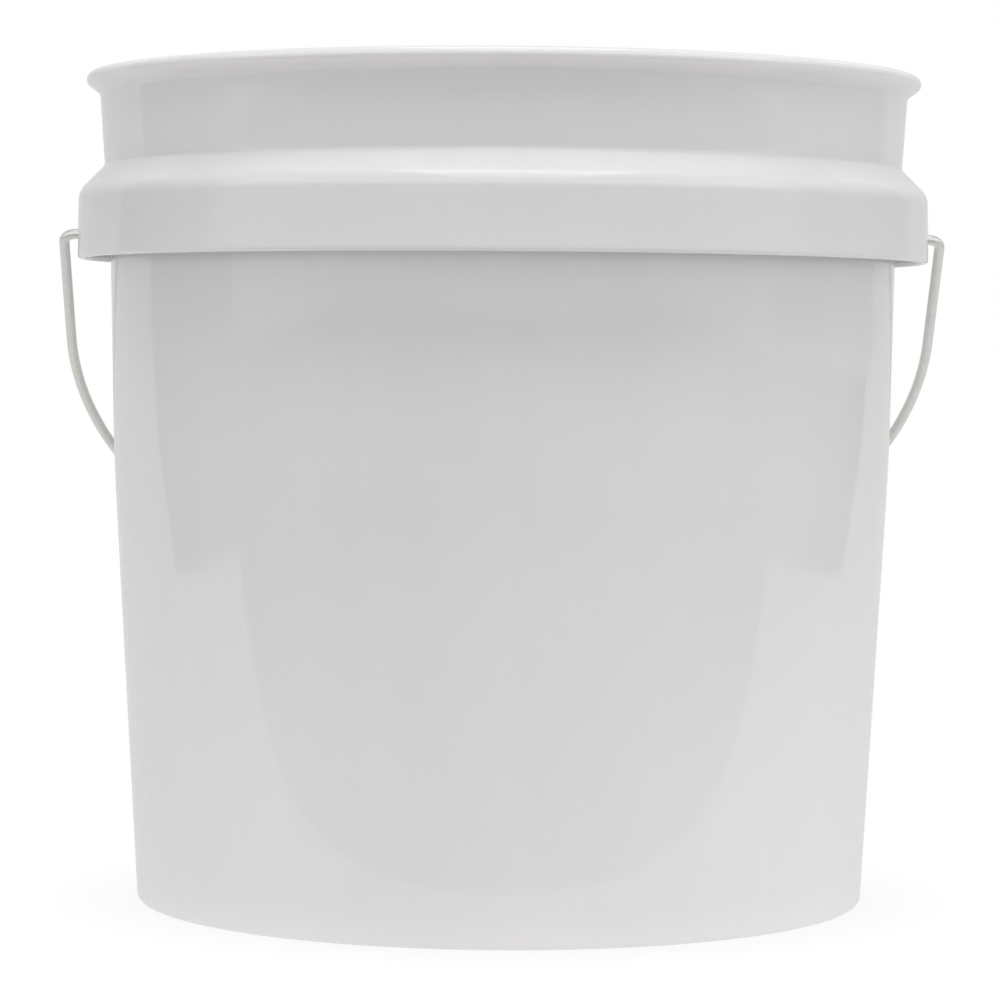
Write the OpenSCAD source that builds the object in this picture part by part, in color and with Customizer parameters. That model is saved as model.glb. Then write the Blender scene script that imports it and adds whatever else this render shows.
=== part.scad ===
// Two-gallon plastic fermenting bucket with a wire bail and a grip.
// Frame: +Z up, origin at the centre of the foot, X through the two bail ears, front towards -Y.
// The bail is drawn at rest, hanging behind the bucket with its grip beside the wall.

/* [Bucket] */
// Overall height from the foot to the top of the rim
height = 241.5; // [238:0.5:246]
// Outer diameter of the wall where it meets the foot, with the draft carried down to the floor
foot_d = 214; // [212:0.5:216]
// Draft of the lower wall in degrees
lower_draft = 3.18; // [2.8:0.02:3.3]
// Draft of the upper wall in degrees
upper_draft = 1.13; // [0.6:0.01:1.4]
// Height where the wall changes from the lower to the upper draft
break_z = 128.7; // [115:0.1:140]
// Half of the height over which the two drafts blend
break_blend = 12; // [4:1:20]
// Wall thickness
wall_t = 2; // [1.6:0.1:2.4]
// Floor thickness
floor_t = 2.4; // [2:0.1:3]
// Height of the foot ring under the floor
foot_h = 3; // [2:0.1:4]
// Width of the foot ring
foot_w = 2.9; // [2.6:0.1:3.4]
// Inside radius between floor and wall
floor_r = 5; // [3:0.5:8]

/* [Collar and lip] */
// Height of the lower end of the collar
collar_z = 214.7; // [214:0.1:216.5]
// Outer diameter at the lower end of the collar
collar_d = 234.2; // [234:0.2:235.6]
// Outer diameter at the upper end of the collar, under the lip
collar_top_d = 237; // [236:0.2:238]
// Outer diameter of the lip
lip_d = 244.8; // [243.4:0.2:246]
// Radius of the rounded nose of the lip
lip_nose_r = 1.9; // [1.6:0.1:2.1]
// Slope of the underside of the lip in degrees
lip_slope = 37; // [30:1:42]

/* [Skirt] */
// Height of the lower edge of the skirt
skirt_z = 187.5; // [186:0.5:189]
// Outer diameter at the lower edge of the skirt
skirt_d = 250; // [249.4:0.2:251]
// Outer diameter where the skirt turns into the shoulder
skirt_top_d = 249.4; // [248.8:0.2:250]
// Radius of the shoulder
shoulder_r = 6; // [5:0.5:8]
// Thickness of the skirt
skirt_t = 2; // [1.6:0.1:2.2]
// Number of evenly spaced gussets between the wall and the skirt
gussets = 16; // [8:8:24]
// Thickness of one gusset
gusset_t = 1.6; // [1.2:0.1:2]
// How far the gussets stop short of the lower edge of the skirt
gusset_up = 2.5; // [1.5:0.5:4]

/* [Bail ears] */
// Height of the bail axis
pivot_z = 195; // [194:0.5:197]
// Diameter of the hole through each ear
ear_hole_d = 3.18; // [3.12:0.02:3.2]
// Diameter of the thickened pad around the hole
ear_pad_d = 12; // [9:0.5:12]
// How far the pad stands in from the skirt
ear_pad_t = 1.8; // [1.2:0.1:2]
// Angle from the ear to each of its two cheeks
ear_cheek_a = 4.2; // [3.8:0.1:6]

/* [Bail] */
// Wire diameter
wire_d = 3; // [2.9:0.05:3]
// Distance from the bail axis to the axis of the grip
bail_reach = 162.2; // [158:0.2:168]
// Distance between the centres of the two legs just below the ears
leg_span = 259.4; // [258.6:0.2:262]
// Outward splay of each leg in degrees
leg_splay = 1.1; // [0:0.1:2]
// Radius of the two large bends
bail_r = 121.7; // [116:0.1:123]
// Radius of the bend at the top of each leg
leg_bend_r = 3.4; // [3.2:0.1:4]
// Radius of the small bends beside the grip
grip_bend_r = 12; // [8:1:16]
// Half of the straight length under the grip
grip_straight = 46; // [45:0.5:50]
// Diameter of the button head on each end of the wire
head_d = 6.4; // [5:0.1:7]
// Thickness of the button head
head_t = 2; // [1.4:0.1:2.2]
// Play between the button head and the pad
head_play = 0.5; // [0.2:0.1:0.6]

/* [Grip] */
// Grip length
grip_len = 86; // [70:1:88]
// Grip diameter
grip_d = 14; // [13:0.2:15]
// Diameter of the bore for the wire
grip_bore_d = 3.18; // [3.12:0.02:3.2]
// Number of grooves around the grip
grip_grooves = 13; // [5:2:15]
// Depth of one groove
groove_t = 0.6; // [0.3:0.1:0.8]
// Gap between the resting grip and the wall
rest_gap = 0.35; // [0.2:0.05:2]

/* [Hidden] */
$fn = 96;

// ---- Helpers ----

// Point at a given radius and angle from a centre
function point_at(centre, radius, angle) = centre + radius * [cos(angle), sin(angle)];

// Points on an arc between two angles
function arc(centre, radius, from, to, steps) =
    [for (i = [0:steps]) point_at(centre, radius, from + (to - from) * i / steps)];

// Draws its children at +X and mirrored at -X
module both_sides() {
    for (side = [0, 1]) mirror([side, 0, 0]) children();
}

// ---- Bucket section ----

// Outer radius of the wall at height z, carried up behind the skirt
foot_r = foot_d / 2;
lower_slope = tan(lower_draft);
upper_slope = tan(upper_draft);
blend_start = break_z - break_blend;
function wall_r(z) =
    z < blend_start ? foot_r + lower_slope * z
    : z > break_z + break_blend
        ? foot_r + lower_slope * break_z + upper_slope * (z - break_z)
    : let (rise = z - blend_start)
      foot_r + lower_slope * z
      + (upper_slope - lower_slope) * rise * rise / (4 * break_blend);

// Foot and floor
floor_z = foot_h + floor_t;
foot_in_r = foot_r - foot_w;
foot_edge_r = 1.5;

// Underside of the floor: a shallow gate well in the centre and two raised rings.
// Each lap is how far a raised mark reaches up into the floor.
well_r = 11;
well_t = 0.8;
gate_r = 2.6;
gate_h = 0.7;
gate_lap = 0.6;
ring_radii = [42, 74];
ring_w = 1.4;
ring_h = 0.7;
ring_lap = 0.5;

// Shoulder: the rounded top of the skirt, then a slope of 45 degrees up to the collar
skirt_r = skirt_d / 2;
skirt_in_r = skirt_r - skirt_t;
skirt_edge_r = 1;
collar_r = collar_d / 2;
shoulder_x = skirt_top_d / 2 - shoulder_r;
shoulder_top = collar_z - (shoulder_x + shoulder_r * cos(45) - collar_r);
shoulder_centre = [shoulder_x, shoulder_top - shoulder_r * sin(45)];
shoulder_in_r = shoulder_r - skirt_t;

// Height where the inside of the wall turns outwards to the collar
wall_top_z = collar_z - 2;
// Height where the underside of the slope meets the wall
roof_start = point_at(shoulder_centre, shoulder_in_r, 45);
roof_z = roof_start[1] + roof_start[0] - wall_r(wall_top_z);

// Collar and lip
collar_top_r = collar_top_d / 2;
rim_z = height - 7;
rim_in_r = collar_top_r - 1.9;
rim_edge_r = 1.2;
collar_slope = (collar_top_r - collar_r) / (rim_z - collar_z);
nose_centre = [lip_d / 2 - lip_nose_r, height - lip_nose_r];
nose_start_a = lip_slope - 90;
nose_start = point_at(nose_centre, lip_nose_r, nose_start_a);
// Height where the slope under the lip meets the collar
lip_foot_z = nose_start[1] - (nose_start[0] - collar_top_r) * tan(lip_slope);

// The profile runs from the axis under the floor round to the axis above it.
// All its points are [radius, z].
foot_points = concat(
    [[0, foot_h + well_t], [well_r - 0.8, foot_h + well_t], [well_r, foot_h],
     [foot_in_r - 1.6, foot_h], [foot_in_r - 0.5, foot_h - 0.9],
     [foot_in_r, 0.5], [foot_in_r + 0.5, 0]],
    arc([foot_r - 1.45, foot_edge_r], foot_edge_r, -90, -4, 5));

// Heights at which the blend between the two drafts is drawn, going up
blend_heights = [for (i = [-2:2]) break_z + i * break_blend / 2];

outer_wall_points = concat(
    [for (z = concat([4], blend_heights, [skirt_z - 4])) [wall_r(z), z]],
    [[wall_r(roof_z - 2.6), roof_z - 2.6], [wall_r(roof_z) + 0.55, roof_z - 0.55]]);

// Inside of the skirt, its lower edge, its outside and the shoulder
skirt_points = concat(
    arc(shoulder_centre, shoulder_in_r, 45, 0, 6),
    [[skirt_in_r, skirt_z + 0.5], [skirt_in_r + 0.5, skirt_z]],
    arc([skirt_r - skirt_edge_r, skirt_z + skirt_edge_r], skirt_edge_r, -90, 0, 4),
    arc(shoulder_centre, shoulder_r, 0, 45, 8));

// Small fillets at both ends of the collar, then the lip and the inner edge of the rim
lip_points = concat(
    [[collar_r + 1.3, collar_z - 1.3], [collar_r + 0.35, collar_z - 0.1],
     [collar_r + 0.1 + collar_slope, collar_z + 1],
     [collar_top_r, lip_foot_z - 1.2], [collar_top_r + 0.25, lip_foot_z - 0.35],
     [collar_top_r + 1, lip_foot_z + tan(lip_slope)]],
    arc(nose_centre, lip_nose_r, nose_start_a, 90, 10),
    arc([rim_in_r + 1.5, height - rim_edge_r], rim_edge_r, 90, 180, 5));

inside_points = concat(
    [[rim_in_r - 0.1, rim_z], [collar_r - 1.8, collar_z + 6],
     [wall_r(wall_top_z) - wall_t, wall_top_z]],
    [for (i = [4:-1:0]) [wall_r(blend_heights[i]) - wall_t, blend_heights[i]]],
    arc([wall_r(floor_z) - wall_t - floor_r, floor_z + floor_r], floor_r, 0, -90, 7),
    [[0, floor_z]]);

bucket_profile =
    concat(foot_points, outer_wall_points, skirt_points, lip_points, inside_points);

// ---- Bucket details ----

// How far a gusset reaches into the wall and the skirt
gusset_lap = 0.7;

// One gusset, drawn in the plane through the axis at the given angle
module gusset(angle) {
    bottom_z = skirt_z + gusset_up;
    rotate([0, 0, angle]) rotate([90, 0, 0])
        linear_extrude(height = gusset_t, center = true)
            polygon(concat(
                [[wall_r(skirt_z) - gusset_lap, bottom_z + 4],
                 [wall_r(skirt_z) + 1.6, bottom_z],
                 [skirt_in_r + gusset_lap, bottom_z]],
                arc(shoulder_centre, shoulder_in_r + gusset_lap, 0, 45, 5),
                [[wall_r(roof_z) - gusset_lap, roof_z + 1]]));
}

// Gussets all round, with two cheeks in place of the one at each ear
module all_gussets() {
    for (i = [0:gussets - 1])
        if (i % (gussets / 2) != 0) gusset(i * 360 / gussets);
    for (ear = [0, 180], cheek = [-1, 1]) gusset(ear + cheek * ear_cheek_a);
}

// Gate mark and raised rings under the floor
module floor_marks() {
    translate([0, 0, foot_h + well_t - gate_h]) cylinder(r = gate_r, h = gate_h + gate_lap);
    for (radius = ring_radii)
        translate([0, 0, foot_h - ring_h]) difference() {
            cylinder(r = radius + ring_w / 2, h = ring_h + ring_lap);
            translate([0, 0, -1]) cylinder(r = radius - ring_w / 2, h = ring_h + 3);
        }
}

// Where the inner face of the ear pad lies
pad_x = skirt_in_r - ear_pad_t;

// Cylinder along +X on the bail axis, starting at x
module ear_cylinder(x, d, h) {
    translate([x, 0, pivot_z]) rotate([0, 90, 0]) cylinder(d = d, h = h);
}

module bucket() color([0.93, 0.93, 0.92]) difference() {
    union() {
        rotate_extrude($fn = 180) polygon(bucket_profile);
        floor_marks();
        all_gussets();
        both_sides() ear_cylinder(pad_x, ear_pad_d, ear_pad_t + 1);
    }
    both_sides() ear_cylinder(pad_x - 1, ear_hole_d, ear_pad_t + skirt_t + 4);
}

// ---- Bail ----

// The bail is drawn in its own plane: x outwards, y upwards, with the bail axis at y = 0.
// The small bend turns by grip_a, the large bend on to the leg, and the last bend into the ear.
grip_a = asin((grip_straight + bail_r * cos(leg_splay)
              - (leg_span / 2 + (bail_reach - bail_r) * tan(leg_splay))) / (bail_r - grip_bend_r));
large_start_a = grip_a - 90;

straight_end = [grip_straight, -bail_reach];
small_centre = straight_end + [0, grip_bend_r];
large_start = point_at(small_centre, grip_bend_r, large_start_a);
large_centre = point_at(large_start, -bail_r, large_start_a);
leg_bottom = point_at(large_centre, bail_r, leg_splay);
leg_len = (-leg_bottom[1] - leg_bend_r * (1 - sin(leg_splay))) / cos(leg_splay);
leg_top = point_at(leg_bottom, leg_len, leg_splay + 90);
leg_bend_centre = point_at(leg_top, -leg_bend_r, leg_splay);
pin_end = [leg_bend_centre[0], 0];
head_face_x = pad_x - head_play;

// The wire is drawn as alternate lengths of full and very slightly reduced diameter. Each reduced
// length runs a little way into its two neighbours, so that neighbouring lengths join cleanly.
slim_d = wire_d - 0.02;
slim_lap = 0.05;

// Straight wire between two points, with its ends run on by a lap
module wire_line(start, end, d = wire_d, lap = 0) {
    run = end - start;
    translate([start[0], start[1], 0]) rotate([0, 0, atan2(run[1], run[0])])
        translate([-lap, 0, 0]) rotate([0, 90, 0])
            cylinder(d = d, h = norm(run) + 2 * lap, $fn = 32);
}

// Bent wire round a centre between two angles, with its ends run on by a lap
module wire_bend(centre, radius, from, to, d = wire_d, lap = 0) {
    lap_a = lap / radius * 180 / PI;
    translate([centre[0], centre[1], 0]) rotate([0, 0, from - lap_a])
        rotate_extrude(angle = to - from + 2 * lap_a, $fn = 120)
            translate([radius, 0]) circle(d = d, $fn = 32);
}

// Button head behind the ear, its profile as [radius, distance along x]
module button_head() {
    head_r = head_d / 2;
    translate([head_face_x - head_t, 0, 0]) rotate([0, 90, 0]) rotate_extrude($fn = 48)
        polygon([[0, 0], [head_r - 0.9, 0], [head_r - 0.25, 0.35], [head_r, 0.9],
                 [head_r, head_t - 0.5], [head_r - 0.4, head_t], [0, head_t]]);
}

module half_bail() {
    wire_bend(small_centre, grip_bend_r, -90, large_start_a);
    wire_bend(large_centre, bail_r, large_start_a, leg_splay, slim_d, slim_lap);
    wire_line(leg_bottom, leg_top);
    wire_bend(leg_bend_centre, leg_bend_r, leg_splay, 90, slim_d, slim_lap);
    wire_line([head_face_x - head_t / 2, 0], pin_end);
    button_head();
}

// Angle of the hanging bail from straight down, found by stepping towards the wall
function hang(steps, angle) = steps == 0 ? angle
    : let (grip_z = pivot_z - bail_reach * cos(angle))
      hang(steps - 1, asin((wall_r(grip_z) + grip_d / 2 + rest_gap) / bail_reach));
hang_a = hang(12, 45);

// Turns a shape drawn in the bail's plane to where the bail hangs
module at_rest() {
    translate([0, 0, pivot_z]) rotate([hang_a, 0, 0]) rotate([90, 0, 0]) children();
}

module bail_wire() color([0.72, 0.73, 0.70]) at_rest() {
    wire_line([-grip_straight, -bail_reach], straight_end, slim_d, slim_lap);
    both_sides() half_bail();
}

// ---- Grip: a ringed tube on a hub, joined by four webs ----

grip_r = grip_d / 2;
grip_end = grip_len / 2;
grip_wall_t = 1.3;
web_t = 1.2;
// The groove centres are spread over this share of the grip length
groove_spread = 0.84;
groove_w = grip_len / grip_grooves * 0.36;
function groove_x(i) =
    (i - (grip_grooves - 1) / 2) * grip_len * groove_spread / (grip_grooves - 1);

// One groove as [share of its width, share of its depth]
groove_shape = [[-0.5, 0], [-0.3, 1], [0.3, 1], [0.5, 0]];

// Grip profile as [radius, distance along the grip]; its inner edge lies within the bore
grip_core_r = wire_d / 2 - 0.5;
grip_profile = concat(
    [[grip_core_r, -grip_end], [grip_r - 1, -grip_end],
     [grip_r - 0.3, -grip_end + 0.3], [grip_r, -grip_end + 1]],
    [for (i = [0:grip_grooves - 1], corner = groove_shape)
        [grip_r - corner[1] * groove_t, groove_x(i) + corner[0] * groove_w]],
    [[grip_r, grip_end - 1], [grip_r - 0.3, grip_end - 0.3],
     [grip_r - 1, grip_end], [grip_core_r, grip_end]]);

// Section of the four hollows between the hub and the tube
module grip_hollows() difference() {
    circle(r = grip_r - groove_t - grip_wall_t, $fn = 64);
    circle(r = grip_bore_d / 2 + grip_wall_t, $fn = 48);
    square([grip_d, web_t], center = true);
    square([web_t, grip_d], center = true);
}

module bail_grip() color([0.9, 0.9, 0.88]) at_rest()
    translate([0, -bail_reach, 0]) rotate([0, 90, 0]) difference() {
        rotate_extrude($fn = 64) polygon(grip_profile);
        translate([0, 0, -grip_len]) cylinder(d = grip_bore_d, h = 2 * grip_len, $fn = 32);
        translate([0, 0, -grip_len]) linear_extrude(height = 2 * grip_len) grip_hollows();
    }

bucket();
bail_wire();
bail_grip();
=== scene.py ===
"""A white plastic pail with a wire bail and a grooved plastic grip, in a bright studio.

Shapes are worked out in millimetres and placed in metres. The pail stands on z = 0 round the
Z axis. The bail pivots in the skirt on the left (-X) and right (+X), and hangs down behind (+Y)
with its grip just off the wall. The camera looks from the front (-Y).
"""

import math

import bmesh
import bpy
from mathutils import Matrix, Vector


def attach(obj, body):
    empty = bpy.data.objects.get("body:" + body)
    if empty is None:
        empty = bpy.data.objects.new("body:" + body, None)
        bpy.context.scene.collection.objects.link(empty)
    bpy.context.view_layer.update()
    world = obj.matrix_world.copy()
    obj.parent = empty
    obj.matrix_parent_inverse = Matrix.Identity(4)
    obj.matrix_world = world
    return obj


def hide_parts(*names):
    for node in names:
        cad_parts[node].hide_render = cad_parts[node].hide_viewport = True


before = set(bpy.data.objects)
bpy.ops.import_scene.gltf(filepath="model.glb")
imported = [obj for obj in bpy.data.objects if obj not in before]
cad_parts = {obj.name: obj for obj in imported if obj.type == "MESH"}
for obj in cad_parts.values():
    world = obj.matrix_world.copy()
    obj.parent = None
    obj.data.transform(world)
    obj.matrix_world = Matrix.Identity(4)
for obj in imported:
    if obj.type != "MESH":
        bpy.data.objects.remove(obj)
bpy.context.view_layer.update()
MM = 0.001

# ---------------------------------------------------------------- dimensions, in millimetres
# pail wall: two drafts that blend into each other round BREAK_Z
HEIGHT = 241.5
FOOT_R = 107.0
LOW_DRAFT, HIGH_DRAFT = math.tan(math.radians(3.18)), math.tan(math.radians(1.13))
BREAK_Z, BLEND = 128.7, 12.0
BREAK_R = FOOT_R + LOW_DRAFT * BREAK_Z
WALL = 2.0

# floor and foot ring
FLOOR_T, FOOT_H, FOOT_W = 2.4, 3.0, 2.9
FLOOR_FILLET = 5.0
WELL_R, WELL_DEPTH = 10.2, 0.8
FLOOR_RING_R, FLOOR_RING_H = (42.0, 74.0), 0.7

# collar and lip
COLLAR_Z, COLLAR_R, COLLAR_TOP_R, COLLAR_FILLET = 214.7, 117.1, 118.5, 1.6
COLLAR_T, RIM_T = 1.8, 1.9
LIP_R, NOSE_R, LIP_SLOPE = 122.4, 1.9, math.radians(37)

# skirt, hung from a rounded shoulder, and the gussets behind it
SKIRT_Z, SKIRT_R, SKIRT_TOP_R, SHOULDER, SKIRT_T = 187.5, 125.0, 124.7, 6.0, 2.0
GUSSETS, GUSSET_T, GUSSET_UP = 16, 1.6, 2.5
CHEEK = 4.2             # degrees from a pivot to the gusset on each side of it
BITE = 0.7              # how far a gusset runs into the walls it joins
SINK_DEPTH, SINK_WIDTH = 0.11, 1.25

# pivots: a hole through a round pad inside the skirt
PIVOT_Z, HOLE_R, PAD_R, PAD_T = 195.0, 1.59, 6.0, 1.8
PAD_X = SKIRT_R - SKIRT_T - PAD_T

# bail wire
WIRE_R, WIRE_SEGMENTS = 1.5, 28
REACH, LEG_X, SPLAY, BAIL_R = 162.2, 129.7, math.radians(1.1), 121.7
LEG_BEND, GRIP_BEND, STRAIGHT = 3.4, 12.0, 46.0
HEAD_PLAY = 0.5
# button head: (distance inwards from its face on the pad, radius)
HEAD = [
    (0.0, 2.2), (0.03, 2.75), (0.16, 3.05), (0.42, 3.2), (1.05, 3.2),
    (1.5, 2.98), (1.82, 2.45), (1.96, 1.7), (2.0, 0.8),
]

# grip
GRIP_LEN, GRIP_R, REST_GAP = 86.0, 7.0, 0.35
GROOVES, GROOVE_T = 13, 0.6
GROOVE_PITCH = GRIP_LEN * 0.84 / (GROOVES - 1)
GROOVE_W = GRIP_LEN / GROOVES * 0.36
BORE_R = 1.59
HOLLOW_WALL, HALF_WEB = 1.3, 0.6
SEAMS = (60, 240)       # degrees round the grip
SEAM_H, SEAM_W = 0.05, 0.22


def wall_radius(z):
    """Outside radius of the drafted wall at height z."""
    start = BREAK_Z - BLEND
    if z < start:
        return FOOT_R + LOW_DRAFT * z
    if z > BREAK_Z + BLEND:
        return BREAK_R + HIGH_DRAFT * (z - BREAK_Z)
    up = z - start
    curve = (HIGH_DRAFT - LOW_DRAFT) * up * up / (4 * BLEND)
    return FOOT_R + LOW_DRAFT * start + LOW_DRAFT * up + curve


# The shoulder's two arcs share a centre. Above it the skin slopes in to the collar at 45 degrees.
DIAGONAL = math.sin(math.radians(45))
SHOULDER_X = SKIRT_TOP_R - SHOULDER
SLOPE_X = SHOULDER_X + SHOULDER * DIAGONAL
SLOPE_Z = COLLAR_Z - (SLOPE_X - COLLAR_R)
SHOULDER_Z = SLOPE_Z - SHOULDER * DIAGONAL
SHOULDER_IN = SHOULDER - SKIRT_T
ROOF_X = SHOULDER_X + SHOULDER_IN * DIAGONAL
ROOF_LOW_Z = SHOULDER_Z + SHOULDER_IN * DIAGONAL
ROOF_Z = ROOF_LOW_Z + (ROOF_X - wall_radius(COLLAR_Z - 2))


# ---------------------------------------------------------------- profile helpers
def arc(center_x, center_y, radius, start, end, count):
    """Points on an arc, between angles in degrees."""
    out = []
    for k in range(count + 1):
        angle = math.radians(start + (end - start) * k / count)
        out.append((center_x + radius * math.cos(angle), center_y + radius * math.sin(angle)))
    return out


def rounded(corners):
    """Turns each corner (x, y, radius, segments) into a tangent arc; a plain (x, y) stays."""
    out = []
    for i, corner in enumerate(corners):
        if len(corner) == 2:
            out.append(corner)
            continue
        radius, segments = corner[2:]
        here = Vector(corner[:2])
        back = Vector(corners[i - 1][:2]) - here
        ahead = Vector(corners[i + 1][:2]) - here
        limit = 0.49 * min(back.length, ahead.length)
        back.normalize()
        ahead.normalize()
        opening = math.acos(max(-1, min(1, back.dot(ahead))))
        setback = radius / math.tan(opening / 2)
        if setback > limit:
            setback = limit
            radius = setback * math.tan(opening / 2)
        first, last = here + back * setback, here + ahead * setback
        center = here + (back + ahead).normalized() * (radius / math.sin(opening / 2))
        start = math.atan2(first.y - center.y, first.x - center.x)
        end = math.atan2(last.y - center.y, last.x - center.x)
        sweep = (end - start + math.pi) % (2 * math.pi) - math.pi
        for k in range(segments + 1):
            angle = start + sweep * k / segments
            out.append((center.x + radius * math.cos(angle), center.y + radius * math.sin(angle)))
    return out


def without_close_points(profile):
    out = [profile[0]]
    for point in profile[1:]:
        if math.hypot(point[0] - out[-1][0], point[1] - out[-1][1]) > 0.02:
            out.append(point)
    return out


def dense(profile, longest):
    """Adds points on long straight runs. longest(x, y) is the longest allowed run there."""
    out = [profile[0]]
    for (x0, y0), (x1, y1) in zip(profile, profile[1:]):
        run = math.hypot(x1 - x0, y1 - y0)
        if run < 1e-6:
            continue
        count = max(1, math.ceil(run / longest((x0 + x1) / 2, (y0 + y1) / 2)))
        for k in range(1, count + 1):
            out.append((x0 + (x1 - x0) * k / count, y0 + (y1 - y0) * k / count))
    return out


def even_angles(count):
    return [2 * math.pi * k / count for k in range(count)]


# ---------------------------------------------------------------- mesh helpers
def about_z(radius, z, angle):
    return Vector((radius * math.cos(angle), radius * math.sin(angle), z)) * MM


def about_x(radius, x, angle, center_y, center_z):
    """A point turned about an axis along X."""
    y = center_y + radius * math.cos(angle)
    z = center_z + radius * math.sin(angle)
    return Vector((x, y, z)) * MM


def new_object(name, bm):
    mesh = bpy.data.meshes.new(name)
    bm.to_mesh(mesh)
    bm.free()
    made = bpy.data.objects.new(name, mesh)
    bpy.context.scene.collection.objects.link(made)
    return made


def lathe(name, profile, angles, place):
    """A closed solid of revolution. The profile (radius, height) runs from axis to axis;
    place(radius, height, angle) gives metres."""
    bm = bmesh.new()
    rings = []
    for radius, height in profile:
        if radius < 1e-6:
            rings.append([bm.verts.new(place(0.0, height, 0.0))])
        else:
            rings.append([bm.verts.new(place(radius, height, angle)) for angle in angles])
    count = len(angles)
    for ring, above in zip(rings, rings[1:]):
        for j in range(count):
            k = (j + 1) % count
            if len(ring) == 1:
                bm.faces.new((ring[0], above[k], above[j]))
            elif len(above) == 1:
                bm.faces.new((ring[j], ring[k], above[0]))
            else:
                bm.faces.new((ring[j], ring[k], above[k], above[j]))
    bmesh.ops.recalc_face_normals(bm, faces=bm.faces)
    return new_object(name, bm)


def prism(name, outline, half, place):
    """A closed slab: the outline (x, y) extruded from -half to +half; place(x, y, t) in metres."""
    bm = bmesh.new()
    low = [bm.verts.new(place(x, y, -half)) for x, y in outline]
    high = [bm.verts.new(place(x, y, half)) for x, y in outline]
    bm.faces.new(low[::-1])
    bm.faces.new(high)
    for i in range(len(outline)):
        k = (i + 1) % len(outline)
        bm.faces.new((low[i], low[k], high[k], high[i]))
    bmesh.ops.triangulate(bm, faces=[face for face in bm.faces if len(face.verts) > 4])
    bmesh.ops.recalc_face_normals(bm, faces=bm.faces)
    return new_object(name, bm)


def boolean(target, tools, operation):
    """Applies the tools to the target's mesh, then deletes them."""
    for tool in tools:
        modifier = target.modifiers.new("cut", "BOOLEAN")
        modifier.operation = operation
        modifier.solver = "MANIFOLD"
        modifier.object = tool
    graph = bpy.context.evaluated_depsgraph_get()
    mesh = bpy.data.meshes.new_from_object(target.evaluated_get(graph), depsgraph=graph)
    target.modifiers.clear()
    old = target.data
    target.data = mesh
    bpy.data.meshes.remove(old)
    for tool in tools:
        data = tool.data
        bpy.data.objects.remove(tool)
        bpy.data.meshes.remove(data)


def smooth(target, degrees):
    target.data.shade_smooth()
    target.data.set_sharp_from_angle(angle=math.radians(degrees))


# ---------------------------------------------------------------- pail
GUSSET_AT = [i * 360 / GUSSETS for i in range(GUSSETS) if i % (GUSSETS // 2)]
CHEEK_AT = [pivot + side * CHEEK for pivot in (0, 180) for side in (-1, 1)]


def underside():
    """Floor from the axis out: well, two raised rings, foot ring and its rounded outer edge."""
    corners = [
        (0.0, FOOT_H + WELL_DEPTH), (WELL_R, FOOT_H + WELL_DEPTH, 0.8, 4),
        (WELL_R + 1, FOOT_H, 0.5, 3),
    ]
    for ring in FLOOR_RING_R:
        crest = FOOT_H - FLOOR_RING_H
        corners += [(ring - 1, FOOT_H, 0.25, 2), (ring - 0.65, crest, 0.25, 3),
                    (ring + 0.65, crest, 0.25, 3), (ring + 1, FOOT_H, 0.25, 2)]
    foot_in = FOOT_R - FOOT_W
    corners += [(foot_in - 0.6, FOOT_H, 1.4, 5), (foot_in + 0.1, 0.0, 0.5, 4), (FOOT_R - 1.8, 0.0)]
    return rounded(corners) + arc(FOOT_R - 1.45, 1.5, 1.5, -90, 0, 7)


def skirt():
    """Channel wall and roof, inside of the skirt, its rounded lower edge, outer shoulder."""
    points = rounded([
        (wall_radius(SKIRT_Z - 2), SKIRT_Z - 2),
        (wall_radius(ROOF_Z) - 0.1, ROOF_Z + 0.1, 1.6, 5),
        (ROOF_X, ROOF_LOW_Z),
    ])
    points += arc(SHOULDER_X, SHOULDER_Z, SHOULDER_IN, 42, 2, 9)
    points += rounded([
        (SKIRT_TOP_R - SKIRT_T, SHOULDER_Z - 1), (SKIRT_R - SKIRT_T, SKIRT_Z, 0.5, 3),
        (SKIRT_R, SKIRT_Z, 1.05, 6), (SKIRT_TOP_R, SHOULDER_Z - 0.4),
    ])
    return points + arc(SHOULDER_X, SHOULDER_Z, SHOULDER, 1.5, 43.5, 16)


def collar_and_lip():
    """Slope, collar, underside of the lip, and its rounded nose up to the top of the rim."""
    nose_x, nose_z = LIP_R - NOSE_R, HEIGHT - NOSE_R
    nose_angle = math.pi / 2 - LIP_SLOPE
    under_x = nose_x + NOSE_R * math.cos(-nose_angle)
    under_z = nose_z + NOSE_R * math.sin(-nose_angle)
    lip_foot_z = under_z - (under_x - COLLAR_TOP_R) * math.tan(LIP_SLOPE)
    points = rounded([
        (SLOPE_X, SLOPE_Z), (COLLAR_R, COLLAR_Z, COLLAR_FILLET, 12),
        (COLLAR_TOP_R, lip_foot_z, 2.4, 7), (under_x, under_z),
    ])
    return points + arc(nose_x, nose_z, NOSE_R, -math.degrees(nose_angle) + 4, 88, 12)


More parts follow.
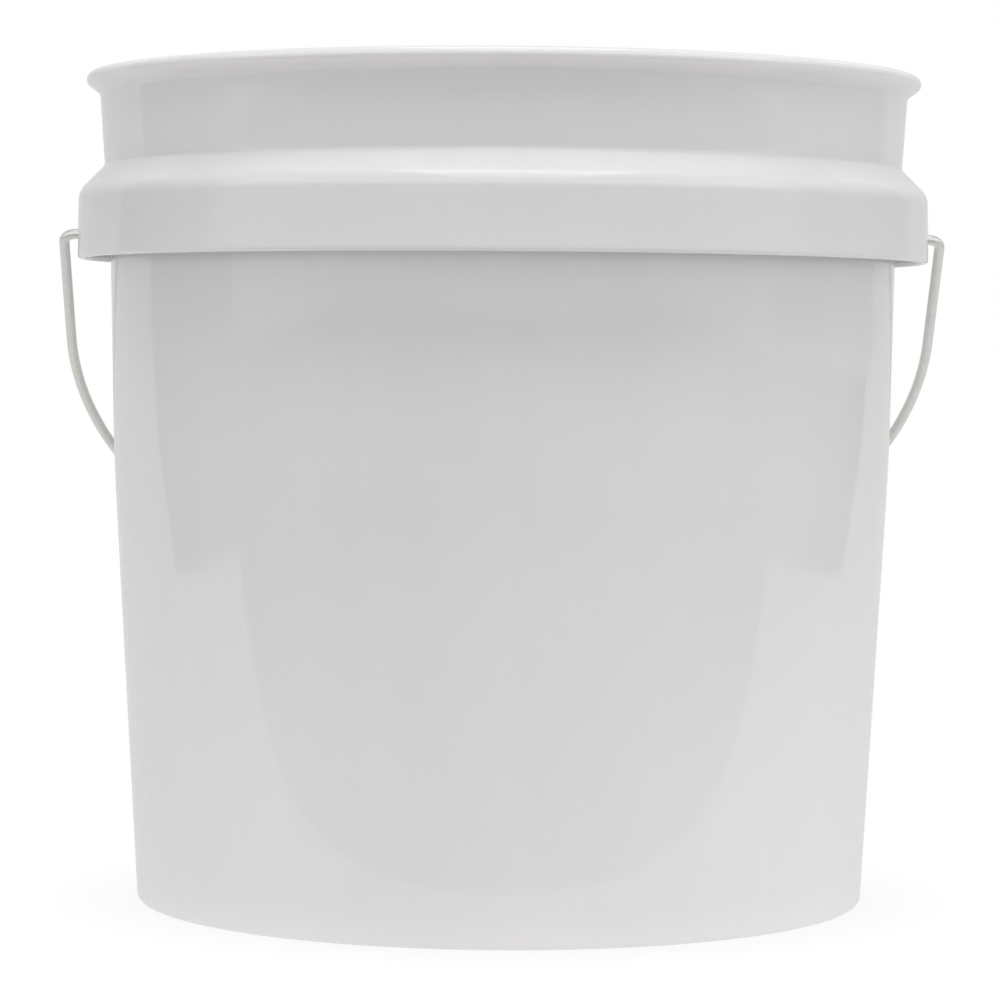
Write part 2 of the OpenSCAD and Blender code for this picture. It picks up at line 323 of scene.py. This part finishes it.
def pail_profile():
    """The section (radius, z), from the axis under the floor round to the axis inside."""
    blend_heights = [BREAK_Z - BLEND + BLEND * k / 6 for k in range(13)]
    points = underside()
    points += [(wall_radius(z), z) for z in [4.0] + blend_heights + [SKIRT_Z - 3]]
    points += skirt() + collar_and_lip()
    # inner edge of the rim, then down the inside to the floor
    rim_in = COLLAR_TOP_R - RIM_T
    points += arc(rim_in + 1.5, HEIGHT - 1.2, 1.2, 92, 178, 6)
    points += rounded([
        (rim_in, HEIGHT - 2.5), (rim_in - 0.1, HEIGHT - 7, 20, 3),
        (COLLAR_R - COLLAR_T, COLLAR_Z + 6, 18, 6),
        (wall_radius(COLLAR_Z - 2) - WALL, COLLAR_Z - 2, 30, 6),
        (wall_radius(170) - WALL, 170.0),
    ])
    points += [(wall_radius(z) - WALL, z) for z in reversed(blend_heights)]
    floor_z = FOOT_H + FLOOR_T
    points += arc(wall_radius(floor_z) - WALL - FLOOR_FILLET, floor_z + FLOOR_FILLET,
                  FLOOR_FILLET, -2, -90, 10)
    points.append((0.0, floor_z))
    return without_close_points(points)


def longest_pail_run(radius, z):
    """Finest on the outside of the skirt, coarse on the floor."""
    if radius > 120.5 and SKIRT_Z < z < 206:
        return 1.3
    if radius < 100:
        return 9.0
    if z > SKIRT_Z - 8:
        return 2.6
    return 5.0


def pail_angles():
    """Angles round the pail, closer together at the gussets and at the pivots."""
    degrees = {round(k * 1.5, 4) for k in range(240)}
    for center in GUSSET_AT + CHEEK_AT:
        for offset in (0, 0.22, 0.46, 0.72, 1.02, 1.38, 1.85, 2.5):
            degrees.add(round((center + offset) % 360, 4))
            degrees.add(round((center - offset) % 360, 4))
    for pivot in (0, 180):
        for k in range(-14, 15):
            degrees.add(round((pivot + k * 0.3) % 360, 4))
    degrees = sorted(degrees)
    kept = [degrees[0]]
    for degree in degrees[1:]:
        if degree - kept[-1] > 0.16:
            kept.append(degree)
    return [math.radians(degree) for degree in kept]


def sink(radius, z, angle):
    """How far the skin of the skirt and shoulder is drawn in over a gusset."""
    if radius < 117.6 or z < SKIRT_Z + 1.5 or z > COLLAR_Z:
        return 0.0
    # the inner faces of the skirt and shoulder stay as they are
    if radius < 123.6 and radius + z < 331:
        return 0.0
    degrees = math.degrees(angle) % 360
    nearest = min(abs((degrees - center + 180) % 360 - 180) for center in GUSSET_AT)
    across = math.radians(nearest) * radius
    # fades out at both ends, and is faint on the straight skirt below the shoulder
    fade = min(1.0, (z - SKIRT_Z - 1.5) / 5) * min(1.0, (COLLAR_Z - z) / 3)
    fade *= 0.02 + 0.98 * min(1.0, max(0.0, (z - 203) / 4))
    return SINK_DEPTH * math.exp(-(across / SINK_WIDTH) ** 2) * fade


def place_pail(radius, z, angle):
    return about_z(radius - sink(radius, z, angle), z, angle)


def gusset(degrees):
    """A radial plate that fills the channel between wall and skirt."""
    cos, sin = math.cos(math.radians(degrees)), math.sin(math.radians(degrees))
    wall = wall_radius(SKIRT_Z)
    bottom = SKIRT_Z + GUSSET_UP
    outline = rounded([
        (wall - BITE, bottom + 5), (wall + 0.05, bottom + 5), (wall + 1.8, bottom, 1.5, 4),
        (SKIRT_R - SKIRT_T + BITE, bottom),
    ])
    outline += arc(SHOULDER_X, SHOULDER_Z, SHOULDER_IN + BITE, 0, 45, 6)
    outline.append((wall_radius(ROOF_Z) - BITE, ROOF_Z + 0.9))
    return prism("gusset", outline, GUSSET_T / 2,
                 lambda x, z, t: Vector((x * cos - t * sin, x * sin + t * cos, z)) * MM)


def on_pivot(name, profile, side, segments):
    """A solid turned about the pivot axis: (radius, distance from the pail's axis)."""
    return lathe(name, profile, even_angles(segments),
                 lambda radius, x, angle: about_x(radius, side * x, angle, 0.0, PIVOT_Z))


def pad(side):
    root = PAD_X + PAD_T + 0.9
    return on_pivot("pad", [
        (0, PAD_X), (PAD_R - 0.5, PAD_X), (PAD_R - 0.14, PAD_X + 0.14), (PAD_R, PAD_X + 0.5),
        (PAD_R, root), (0, root),
    ], side, segments=64)


def pivot_hole(side):
    """Cutter for the hole, flared at both ends."""
    start, end = PAD_X - 1.2, SKIRT_R + 0.8
    return on_pivot("hole", [
        (0, start), (HOLE_R + 1.5, start), (HOLE_R + 0.3, PAD_X), (HOLE_R, PAD_X + 0.3),
        (HOLE_R, SKIRT_R - 0.55), (HOLE_R + 0.35, SKIRT_R - 0.15), (HOLE_R + 1.3, end), (0, end),
    ], side, segments=48)


def gate_mark():
    """A small stepped button in the well under the floor."""
    tip, step, root = FOOT_H + 0.15, FOOT_H - 0.05, FOOT_H + 1.3
    profile = rounded([(0, tip), (0.7, tip), (0.9, step, 0.15, 2), (1.9, step, 0.3, 3),
                       (2.6, root), (0, root)])
    return lathe("gate", profile, even_angles(48), about_z)


def build_pail():
    profile = dense(pail_profile(), longest_pail_run)
    made = lathe("bucket_moulding", profile, pail_angles(), place_pail)
    additions = [gusset(degrees) for degrees in GUSSET_AT + CHEEK_AT]
    additions += [pad(side) for side in (1, -1)]
    additions.append(gate_mark())
    boolean(made, additions, "UNION")
    boolean(made, [pivot_hole(side) for side in (1, -1)], "DIFFERENCE")
    smooth(made, 28)
    return made


bucket = build_pail()
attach(bucket, "pail")
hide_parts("bucket")

# ---------------------------------------------------------------- bail wire
# the wire's heading where the bend beside the grip meets the large curve
grip_heading = math.asin(
    (STRAIGHT + BAIL_R * math.cos(SPLAY) - (LEG_X + (REACH - BAIL_R) * math.tan(SPLAY)))
    / (BAIL_R - GRIP_BEND))
# the bail's angle from straight down, found by repetition, with the grip REST_GAP off the wall
hang = math.radians(45)
for _ in range(12):
    grip_z = PIVOT_Z - REACH * math.cos(hang)
    hang = math.asin((wall_radius(grip_z) + GRIP_R + REST_GAP) / REACH)


def bail_point(x, y, t=0.0):
    """From the bail's own plane (x to the right, y negative below the pivots, t across the
    plane) to where it hangs, in metres."""
    cos, sin = math.cos(hang), math.sin(hang)
    return Vector((x, -y * sin + t * cos, PIVOT_Z + y * cos + t * sin)) * MM


def bend(path, heading, radius, count):
    """Continues the path on an arc until it has the new heading."""
    x, y, start = path[-1]
    for k in range(1, count + 1):
        turned = start + (heading - start) * k / count
        path.append((x + radius * (math.sin(turned) - math.sin(start)),
                     y + radius * (math.cos(start) - math.cos(turned)), turned))


def bail_path():
    """The right half of the wire from its middle to the head: (x, y, heading in the plane)."""
    path = [(STRAIGHT * k / 8, -REACH, 0.0) for k in range(9)]
    bend(path, grip_heading, GRIP_BEND, 7)
    up = math.pi / 2 + SPLAY
    bend(path, up, BAIL_R, 60)
    x, y, _ = path[-1]
    leg = (-y - LEG_BEND * (1 - math.sin(SPLAY))) / math.cos(SPLAY)
    for k in range(1, 10):
        along = leg * k / 9
        path.append((x - along * math.sin(SPLAY), y + along * math.cos(SPLAY), up))
    bend(path, math.pi, LEG_BEND, 18)
    pin_out, pin_in = path[-1][0], PAD_X - HEAD_PLAY
    path += [(pin_out - (pin_out - pin_in) * k / 4, 0.0, math.pi) for k in range(1, 5)]
    return path


def build_bail_wire():
    right = [(*point, WIRE_R) for point in bail_path()]
    head_x = PAD_X - HEAD_PLAY
    right += [(head_x - inward, 0.0, math.pi, radius) for inward, radius in HEAD]
    left = [(-x, y, -heading, radius) for x, y, heading, radius in right[:0:-1]]
    bm = bmesh.new()
    loops = []
    for i, (x, y, heading, radius) in enumerate(left + right):
        loop = []
        for angle in even_angles(WIRE_SEGMENTS):
            # drawn wire is slightly oval and uneven, by about a hundredth of a millimetre
            oval = 0.004 * math.sin(0.19 * i + 2 * angle)
            uneven = 0.003 * math.sin(0.47 * i)
            size = radius * (1 + oval + uneven)
            u, v = size * math.cos(angle), size * math.sin(angle)
            point = bail_point(x - math.sin(heading) * u, y + math.cos(heading) * u, v)
            loop.append(bm.verts.new(point))
        loops.append(loop)
    for loop, following in zip(loops, loops[1:]):
        for k in range(WIRE_SEGMENTS):
            m = (k + 1) % WIRE_SEGMENTS
            bm.faces.new((loop[k], loop[m], following[m], following[k]))
    for loop in (loops[0], loops[-1]):
        middle = bm.verts.new(sum((vert.co for vert in loop), Vector()) / WIRE_SEGMENTS)
        for k in range(WIRE_SEGMENTS):
            bm.faces.new((loop[k], loop[(k + 1) % WIRE_SEGMENTS], middle))
    bmesh.ops.recalc_face_normals(bm, faces=bm.faces)
    made = new_object("bail_wire_bent", bm)
    smooth(made, 40)
    return made


wire = build_bail_wire()
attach(wire, "bail")
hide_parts("bail_wire")

# ---------------------------------------------------------------- grip
grip_center = bail_point(0, -REACH) / MM


def grip_profile():
    """Outside of the grip (radius, x): rounded ends and a row of grooves."""
    end = GRIP_LEN / 2
    points = [(0.0, -end)]
    points += rounded([(0.1, -end), (GRIP_R, -end, 1.0, 6), (GRIP_R, -end + 1.6)])
    half, bottom = GROOVE_W / 2, GRIP_R - GROOVE_T
    for i in range(GROOVES):
        x = (i - (GROOVES - 1) / 2) * GROOVE_PITCH
        points += rounded([
            (GRIP_R, x - half - 0.9), (GRIP_R, x - half, 0.35, 4),
            (bottom, x - 0.6 * half, 0.45, 4), (bottom, x + 0.6 * half, 0.45, 4),
            (GRIP_R, x + half, 0.35, 4), (GRIP_R, x + half + 0.9),
        ])
    points += rounded([(GRIP_R, end - 1.6), (GRIP_R, end, 1.0, 6), (0.1, end)])
    points.append((0.0, end))
    return without_close_points(points)


def about_grip(radius, x, angle):
    return about_x(radius, x, angle, grip_center.y, grip_center.z)


def place_grip(radius, x, angle):
    """Raises two fine parting lines along the grip, except near the axis."""
    if radius > 3.5:
        for seam in SEAMS:
            turn = (angle - math.radians(seam) + math.pi) % (2 * math.pi) - math.pi
            across = abs(turn) * radius
            radius += SEAM_H * math.exp(-(across / SEAM_W) ** 2)
    return about_grip(radius, x, angle)


def hollow(base):
    """Cutter for one quarter of the space between the bore's wall and the outer wall."""
    outer, inner = GRIP_R - GROOVE_T - HOLLOW_WALL, BORE_R + HOLLOW_WALL
    web_outer, web_inner = (math.asin((HALF_WEB + 0.01) / radius) for radius in (outer, inner))
    quarter = math.pi / 2
    outline = []
    for k in range(15):
        angle = base + web_outer + (quarter - 2 * web_outer) * k / 14
        outline.append((outer * math.cos(angle), outer * math.sin(angle)))
    for k in range(10):
        angle = base + quarter - web_inner - (quarter - 2 * web_inner) * k / 9
        outline.append((inner * math.cos(angle), inner * math.sin(angle)))
    return prism("hollow", outline, GRIP_LEN,
                 lambda u, v, x: Vector((x, grip_center.y + u, grip_center.z + v)) * MM)


def build_grip():
    angles = {round(angle, 5) for angle in even_angles(72)}
    angles |= {round(math.radians(seam + offset), 5)
               for seam in SEAMS for offset in (-3.2, -2.1, -1.2, 1.2, 2.1, 3.2)}
    profile = dense(grip_profile(), lambda radius, x: 2.2)
    made = lathe("bail_grip_tube", profile, sorted(angles), place_grip)
    cutters = [hollow(quarter * math.pi / 2) for quarter in range(4)]
    bore = [(0, -GRIP_LEN), (BORE_R, -GRIP_LEN), (BORE_R, GRIP_LEN), (0, GRIP_LEN)]
    cutters.append(lathe("bore", bore, even_angles(40), about_grip))
    boolean(made, cutters, "DIFFERENCE")
    smooth(made, 35)
    return made


grip = build_grip()
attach(grip, "grip")
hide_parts("bail_grip")


# ---------------------------------------------------------------- shader helpers
class Shader:
    """An emptied node tree. Most methods add nodes and return the last one's output."""

    def __init__(self, owner):
        owner.use_nodes = True
        self.tree = owner.node_tree
        self.tree.nodes.clear()

    def node(self, kind, inputs=None, **settings):
        """A node. Each input is a socket to link from or a fixed value."""
        made = self.tree.nodes.new(kind)
        for name, value in settings.items():
            setattr(made, name, value)
        for key, value in (inputs or {}).items():
            if isinstance(value, bpy.types.NodeSocket):
                self.tree.links.new(value, made.inputs[key])
            else:
                made.inputs[key].default_value = value
        return made

    def calc(self, operation, *values):
        return self.node("ShaderNodeMath", dict(enumerate(values)), operation=operation).outputs[0]

    def add(self, a, b):
        return self.calc("ADD", a, b)

    def sub(self, a, b):
        return self.calc("SUBTRACT", a, b)

    def mul(self, a, b):
        return self.calc("MULTIPLY", a, b)

    def remap(self, value, source=(0.0, 1.0), result=(0.0, 1.0), **settings):
        return self.node("ShaderNodeMapRange", {
            "Value": value, "From Min": source[0], "From Max": source[1],
            "To Min": result[0], "To Max": result[1]}, **settings).outputs[0]

    def step(self, value, low, high):
        """0 below low, 1 above high, smooth between."""
        return self.remap(value, (low, high), interpolation_type="SMOOTHSTEP")

    def xyz(self, vector):
        return self.node("ShaderNodeSeparateXYZ", {0: vector}).outputs

    def mapped(self, scale=(1, 1, 1)):
        place = self.node("ShaderNodeTexCoord").outputs["Object"]
        return self.node("ShaderNodeMapping", {"Vector": place, "Scale": scale}).outputs[0]

    def noise(self, vector, scale, detail, rough, distortion=0.0):
        return self.node("ShaderNodeTexNoise", {
            "Vector": vector, "Scale": scale, "Detail": detail, "Roughness": rough,
            "Distortion": distortion}).outputs["Fac"]

    def ramp(self, value, *stops):
        """A two-stop ramp; each stop is (position, colour)."""
        made = self.node("ShaderNodeValToRGB", {0: value})
        for element, (position, color) in zip(made.color_ramp.elements, stops):
            element.position = position
            element.color = (*color, 1)
        return made.outputs[0]

    def mix_color(self, amount, a, b, blend):
        return self.node("ShaderNodeMix", {0: amount, 6: a, 7: b},
                         data_type="RGBA", blend_type=blend).outputs[2]

    def bump(self, height, strength, distance, normal=None):
        inputs = {"Strength": strength, "Distance": distance, "Height": height}
        if normal is not None:
            inputs["Normal"] = normal
        return self.node("ShaderNodeBump", inputs).outputs[0]

    def surface(self, color, rough, normal, fixed):
        """The Principled surface and the material output; fixed holds its plain values."""
        shader = self.node("ShaderNodeBsdfPrincipled", {
            "Base Color": color, "Roughness": rough, "Normal": normal, **fixed})
        self.node("ShaderNodeOutputMaterial", {0: shader.outputs[0]})

    def weighted(self, **masks):
        """The sum of the named STUDIO radiances, each times its mask."""
        total = None
        for name, mask in masks.items():
            radiance = self.node("ShaderNodeValue", name=name, label=name).outputs[0]
            radiance.default_value = STUDIO[name]
            part = self.mul(radiance, mask)
            total = part if total is None else self.add(total, part)
        return total

    def glow_by_ray(self, kind, output, fill, gloss, camera):
        """Shines with one strength for soft light, one for mirroring, one for the camera."""
        def glow(strength):
            return self.node(kind, {0: (1, 1, 1, 1), "Strength": strength}).outputs[0]

        def mix(amount, a, b):
            return self.node("ShaderNodeMixShader", {0: amount, 1: a, 2: b}).outputs[0]

        ray = self.node("ShaderNodeLightPath").outputs
        unseen = mix(ray["Is Glossy Ray"], glow(fill), glow(gloss))
        self.node(output, {0: mix(ray["Is Camera Ray"], unseen, glow(camera))})


def new_material(name):
    made = bpy.data.materials.new(name)
    return made, Shader(made)


# ---------------------------------------------------------------- materials
def white_hdpe():
    """Glossy white plastic with soft waves, faint flow marks and hair-fine scuffs."""
    made, tree = new_material("white_hdpe")
    flat = tree.mapped()
    cloud = tree.noise(flat, scale=9.0, detail=3, rough=0.55)
    # flow marks run up the wall, so they are stretched along Z
    streak = tree.noise(tree.mapped(scale=(1, 1, 0.05)), scale=60.0, detail=5, rough=0.55,
                        distortion=0.4)
    fine = tree.noise(flat, scale=900.0, detail=2, rough=0.5)
    wave = tree.noise(tree.mapped(scale=(1, 1, 0.6)), scale=16.0, detail=2, rough=0.4)
    peel = tree.noise(flat, scale=260.0, detail=3, rough=0.5)
    tint = tree.ramp(cloud, (0.3, (0.790, 0.775, 0.777)), (0.7, (0.829, 0.813, 0.815)))
    flow = tree.ramp(streak, (0.35, (0.975, 0.975, 0.975)), (0.65, (1.0, 1.0, 1.0)))
    color = tree.mix_color(0.5, tint, flow, blend="MULTIPLY")
    rough = tree.remap(cloud, source=(0.3, 0.7), result=(0.035, 0.055))
    # scuffs: the thin crests of distorted bands, in scattered patches, are a little rougher
    bands = tree.node("ShaderNodeTexWave", {
        "Vector": flat, "Scale": 260, "Distortion": 22, "Detail": 3, "Detail Scale": 0.6,
    }, wave_type="BANDS", bands_direction="Z").outputs["Fac"]
    thin = tree.calc("GREATER_THAN", bands, 0.985)
    patch = tree.calc("GREATER_THAN", tree.noise(flat, scale=28.0, detail=2, rough=0.5), 0.63)
    scuff = tree.mul(thin, patch)
    rough = tree.add(rough, tree.mul(scuff, 0.10))
    normal = tree.bump(wave, strength=0.30, distance=0.0006)
    normal = tree.bump(peel, strength=0.08, distance=0.00003, normal=normal)
    normal = tree.bump(fine, strength=0.04, distance=0.00001, normal=normal)
    tree.surface(color, rough, normal, {
        "IOR": 1.53, "Subsurface Weight": 0.5, "Subsurface Scale": 0.006,
        "Subsurface Radius": (1.0, 0.97, 0.92)})
    return made


def zinc_wire():
    """Dull, mottled zinc with a faint spangle."""
    made, tree = new_material("zinc_wire")
    flat = tree.mapped()
    mottled = tree.noise(flat, scale=420.0, detail=4, rough=0.6)
    spangle = tree.node("ShaderNodeTexVoronoi", {"Vector": flat, "Scale": 700}).outputs["Color"]
    tone = tree.ramp(mottled, (0.25, (0.74, 0.75, 0.71)), (0.75, (0.84, 0.85, 0.81)))
    color = tree.mix_color(0.12, tone, spangle, blend="SOFT_LIGHT")
    rough = tree.remap(mottled, result=(0.32, 0.48))
    grain = tree.noise(flat, scale=1500.0, detail=2, rough=0.5)
    normal = tree.bump(grain, strength=0.2, distance=0.00003)
    normal = tree.bump(mottled, strength=0.2, distance=0.00008, normal=normal)
    tree.surface(color, rough, normal, {"Metallic": 0.45, "IOR": 2.0})
    return made


def grip_plastic():
    """Satin off-white plastic."""
    made, tree = new_material("grip_plastic")
    flat = tree.mapped()
    cloud = tree.noise(flat, scale=60.0, detail=4, rough=0.55)
    tint = tree.ramp(cloud, (0.3, (0.73, 0.73, 0.71)), (0.7, (0.78, 0.78, 0.76)))
    rough = tree.remap(cloud, result=(0.36, 0.50))
    grain = tree.noise(flat, scale=1200.0, detail=3, rough=0.55)
    normal = tree.bump(grain, strength=0.25, distance=0.00005)
    tree.surface(tint, rough, normal, {
        "IOR": 1.52, "Subsurface Weight": 0.2, "Subsurface Scale": 0.002})
    return made


for piece, look in ((bucket, white_hdpe()), (wire, zinc_wire()), (grip, grip_plastic())):
    piece.data.materials.clear()
    piece.data.materials.append(look)

# ---------------------------------------------------------------- studio, in metres
# Radiance of each part, where 1 is the white of the backdrop. The soft_ and gloss_ parts are
# mirrored by the surfaces; the fill_, over_, low_ and side_ parts light them softly.
STUDIO = {
    "soft_1": 1.20, "soft_2": 1.20, "soft_3": 1.20, "soft_4": 2.00, "soft_5": 2.20,
    "gloss_back": 0.74, "gloss_left": 0.38, "gloss_right": 0.58, "gloss_front": 0.99,
    "gloss_mid": 1.60, "gloss_top": 0.30,
    "gloss_table": 0.76, "gloss_near": 0.15, "gloss_far": 0.30,
    "fill_all": 0.44, "fill_front": 0.00, "fill_back": 0.00, "fill_left": 0.00,
    "fill_right": 0.25, "fill_near": 0.85, "fill_far": 0.25,
    "over_1": 0.33, "over_2": 7.50, "over_3": 3.73, "over_4": 0.00,
    "low_front": 0.90, "low_left": 1.41, "low_right": 1.52, "side_left": 0.00, "side_right": 0.00,
}
TABLE_FRONT, TABLE_LEFT, TABLE_RIGHT = -0.166, -0.86, 0.88
# where the backdrop starts on each side, in degrees round from the front (-Y)
BACK_LEFT, BACK_RIGHT = 123.6, 136.0
# the backdrop's edges on the floor: y beside the table, and slope dy/dx
BACK_LEFT_Y, BACK_LEFT_SLOPE = 0.263, -0.664
BACK_RIGHT_Y, BACK_RIGHT_SLOPE = 0.41, 0.95
AIM = (0.0, 0.0, 0.15)      # the point the low and side lights face


def build_world():
    """Surroundings: white to the camera, split by direction for mirroring and soft light."""
    world = bpy.data.worlds.new("studio")
    bpy.context.scene.world = world
    tree = Shader(world)
    direction = tree.node("ShaderNodeTexCoord").outputs["Generated"]
    x, y, z = tree.xyz(direction)
    turn = tree.calc("ARCTAN2", x, tree.mul(y, -1.0))
    azimuth = tree.calc("ABSOLUTE", tree.mul(turn, 180 / math.pi))
    high = tree.step(z, 0.55, 0.70)
    mid = tree.step(z, 0.22, 0.34)
    low = tree.sub(1.0, high)
    right = tree.step(x, -0.05, 0.05)
    left = tree.sub(1.0, right)
    edge = tree.add(tree.mul(right, BACK_RIGHT - BACK_LEFT), BACK_LEFT)
    behind = tree.step(tree.sub(azimuth, edge), -1.5, 1.5)
    aside = tree.sub(tree.step(azimuth, 80, 88), behind)
    ahead = tree.sub(1.0, tree.step(azimuth, 80, 88))
    gloss = tree.weighted(
        gloss_back=tree.mul(behind, low),
        gloss_left=tree.mul(tree.mul(aside, left), low),
        gloss_right=tree.mul(tree.mul(aside, right), low),
        gloss_front=tree.mul(ahead, tree.sub(1.0, mid)),
        gloss_mid=tree.mul(ahead, tree.sub(mid, high)),
        gloss_top=high)

    def lobe(toward, power):
        """A soft light from one direction: the cosine to it, to a power."""
        cosine = tree.node("ShaderNodeVectorMath", {0: direction, 1: Vector(toward)},
                           operation="DOT_PRODUCT").outputs["Value"]
        return tree.calc("POWER", tree.calc("MAXIMUM", cosine, 0.0), power)

    fill = tree.weighted(
        fill_all=1.0,
        fill_front=lobe((0, -1, 0), power=2),
        fill_back=lobe((0, 1, 0), power=1),
        fill_left=lobe((-1, 0, 0), power=1.5),
        fill_right=lobe((1, 0, 0), power=1.5))
    tree.glow_by_ray("ShaderNodeBackground", "ShaderNodeOutputWorld", fill, gloss, camera=1.0)
    world.cycles.sampling_method = "NONE"


def pale_floor():
    """White to the camera, with a faint painted contact shadow near the pail; mirrored as table,
    floor, backdrop.
    """
    made, tree = new_material("pale_floor")
    position = tree.node("ShaderNodeNewGeometry").outputs["Position"]
    x, y, _ = tree.xyz(position)
    distance = tree.calc("SQRT", tree.add(tree.mul(x, x), tree.mul(y, y)))
    on_table = tree.mul(
        tree.step(y, TABLE_FRONT - 0.003, TABLE_FRONT + 0.003),
        tree.mul(tree.step(x, TABLE_LEFT - 0.02, TABLE_LEFT + 0.02),
                 tree.sub(1.0, tree.step(x, TABLE_RIGHT - 0.02, TABLE_RIGHT + 0.02))))
    near = tree.sub(1.0, tree.step(distance, 0.3, 0.6))
    off_table = tree.sub(1.0, on_table)
    beyond = tree.step(distance, 0.7, 1.6)

    def past_line(slope, line_x, line_y):
        """How far y lies behind a slanting line through (line_x, line_y)."""
        return tree.sub(y, tree.add(tree.mul(x, slope), line_y - slope * line_x))

    # behind both lines the floor is mirrored as the backdrop
    past_left = past_line(BACK_LEFT_SLOPE, TABLE_LEFT, BACK_LEFT_Y)
    past_right = past_line(BACK_RIGHT_SLOPE, TABLE_RIGHT, BACK_RIGHT_Y)
    back = tree.mul(tree.step(past_left, -0.02, 0.02), tree.step(past_right, -0.02, 0.02))
    back = tree.mul(tree.mul(back, tree.step(y, 0.15, 0.20)), off_table)
    front = tree.sub(off_table, back)
    gloss = tree.weighted(
        gloss_table=on_table,
        gloss_back=back,
        gloss_far=tree.mul(front, beyond),
        gloss_near=tree.mul(front, tree.sub(1.0, beyond)))
    fill = tree.weighted(fill_near=near, fill_far=tree.sub(1.0, near))
    # painted contact shadow: ambient occlusion darkens the white the camera sees on the floor near
    # the pail
    openness = tree.node("ShaderNodeAmbientOcclusion", {"Distance": 0.035}, samples=8).outputs["AO"]
    shade = tree.mul(tree.sub(1.0, openness), 0.10)
    mottle = tree.noise(tree.mapped(), scale=3.0, detail=3, rough=0.5)
    white = tree.add(1.0, tree.mul(mottle, 0.01))
    tree.glow_by_ray("ShaderNodeEmission", "ShaderNodeOutputMaterial", fill, gloss,
                     camera=tree.sub(white, shade))
    made.cycles.emission_sampling = "NONE"
    return made


def build_floor():
    bm = bmesh.new()
    bm.faces.new([bm.verts.new((x, y, 0)) for x, y in ((-6, -6), (6, -6), (6, 6), (-6, 6))])
    floor = new_object("floor", bm)
    floor.data.materials.append(pale_floor())


def softbox(name, center, target, size, mirrored=False):
    """A rectangular light facing its target. It is either mirrored or lights softly."""
    light = bpy.data.lights.new(name, "AREA")
    light.shape = "RECTANGLE"
    light.size, light.size_y = size
    light.energy = STUDIO[name] * math.pi * size[0] * size[1]
    made = bpy.data.objects.new(name, light)
    bpy.context.scene.collection.objects.link(made)
    made.location = center
    made.rotation_euler = (Vector(target) - Vector(center)).to_track_quat("-Z", "Y").to_euler()
    made.visible_camera = False
    made.visible_glossy = mirrored
    made.visible_diffuse = not mirrored


def overhead(name, center, size, mirrored=False):
    """A softbox facing down; the slight tilt in y keeps its sides square to the axes."""
    x, y, _ = center
    softbox(name, center, (x, y - 0.0001, 0.0), size, mirrored)


def build_lights():
    # one mirrored overhead light in five panels, the first nearest the camera
    panel = 0.31
    for k in range(5):
        overhead("soft_%d" % (k + 1), (0.045, -1.45 + panel * (k + 0.5), 1.41), (0.80, panel),
                 mirrored=True)
    # soft light from above, from the camera's side to behind the pail: (y, size in y)
    for k, (y, depth) in enumerate([(-0.95, 0.4), (-0.55, 0.4), (-0.25, 0.2), (0.25, 0.6)]):
        overhead("over_%d" % (k + 1), (0.030, y, 1.60), (1.2, depth))
    # soft light from close to the horizon, then from higher on each side
    for name, center, size in (
        ("low_front", (0.0, -1.6, 0.32), (1.6, 0.55)),
        ("low_left", (-1.5, -0.35, 0.32), (1.4, 0.55)),
        ("low_right", (1.5, -0.35, 0.32), (1.4, 0.55)),
        ("side_left", (-1.2, -0.9, 1.1), (0.8, 0.8)),
        ("side_right", (1.2, -0.9, 1.1), (0.8, 0.8)),
    ):
        softbox(name, center, AIM, size)


def build_camera():
    """In front of the pail, tilted slightly down, then swung a degree round the Z axis."""
    lens = bpy.data.cameras.new("camera")
    lens.sensor_width = 36.0
    lens.lens = 133.974
    lens.clip_start, lens.clip_end = 0.05, 50
    camera = bpy.data.objects.new("camera", lens)
    bpy.context.scene.collection.objects.link(camera)
    orbit, tilt_down, roll = math.radians(-1.0), 0.0396, 0.0067
    camera.matrix_world = Matrix.Rotation(orbit, 4, "Z") @ (
        Matrix.Translation((-0.00036, -1.10257, 0.16087))
        @ Matrix.Rotation(math.radians(90) - tilt_down, 4, "X")
        @ Matrix.Rotation(roll, 4, "Z"))
    bpy.context.scene.camera = camera


build_world()
build_floor()
build_lights()
build_camera()
bpy.context.scene.view_settings.view_transform = "Standard"
bpy.context.scene.view_settings.look = "None"
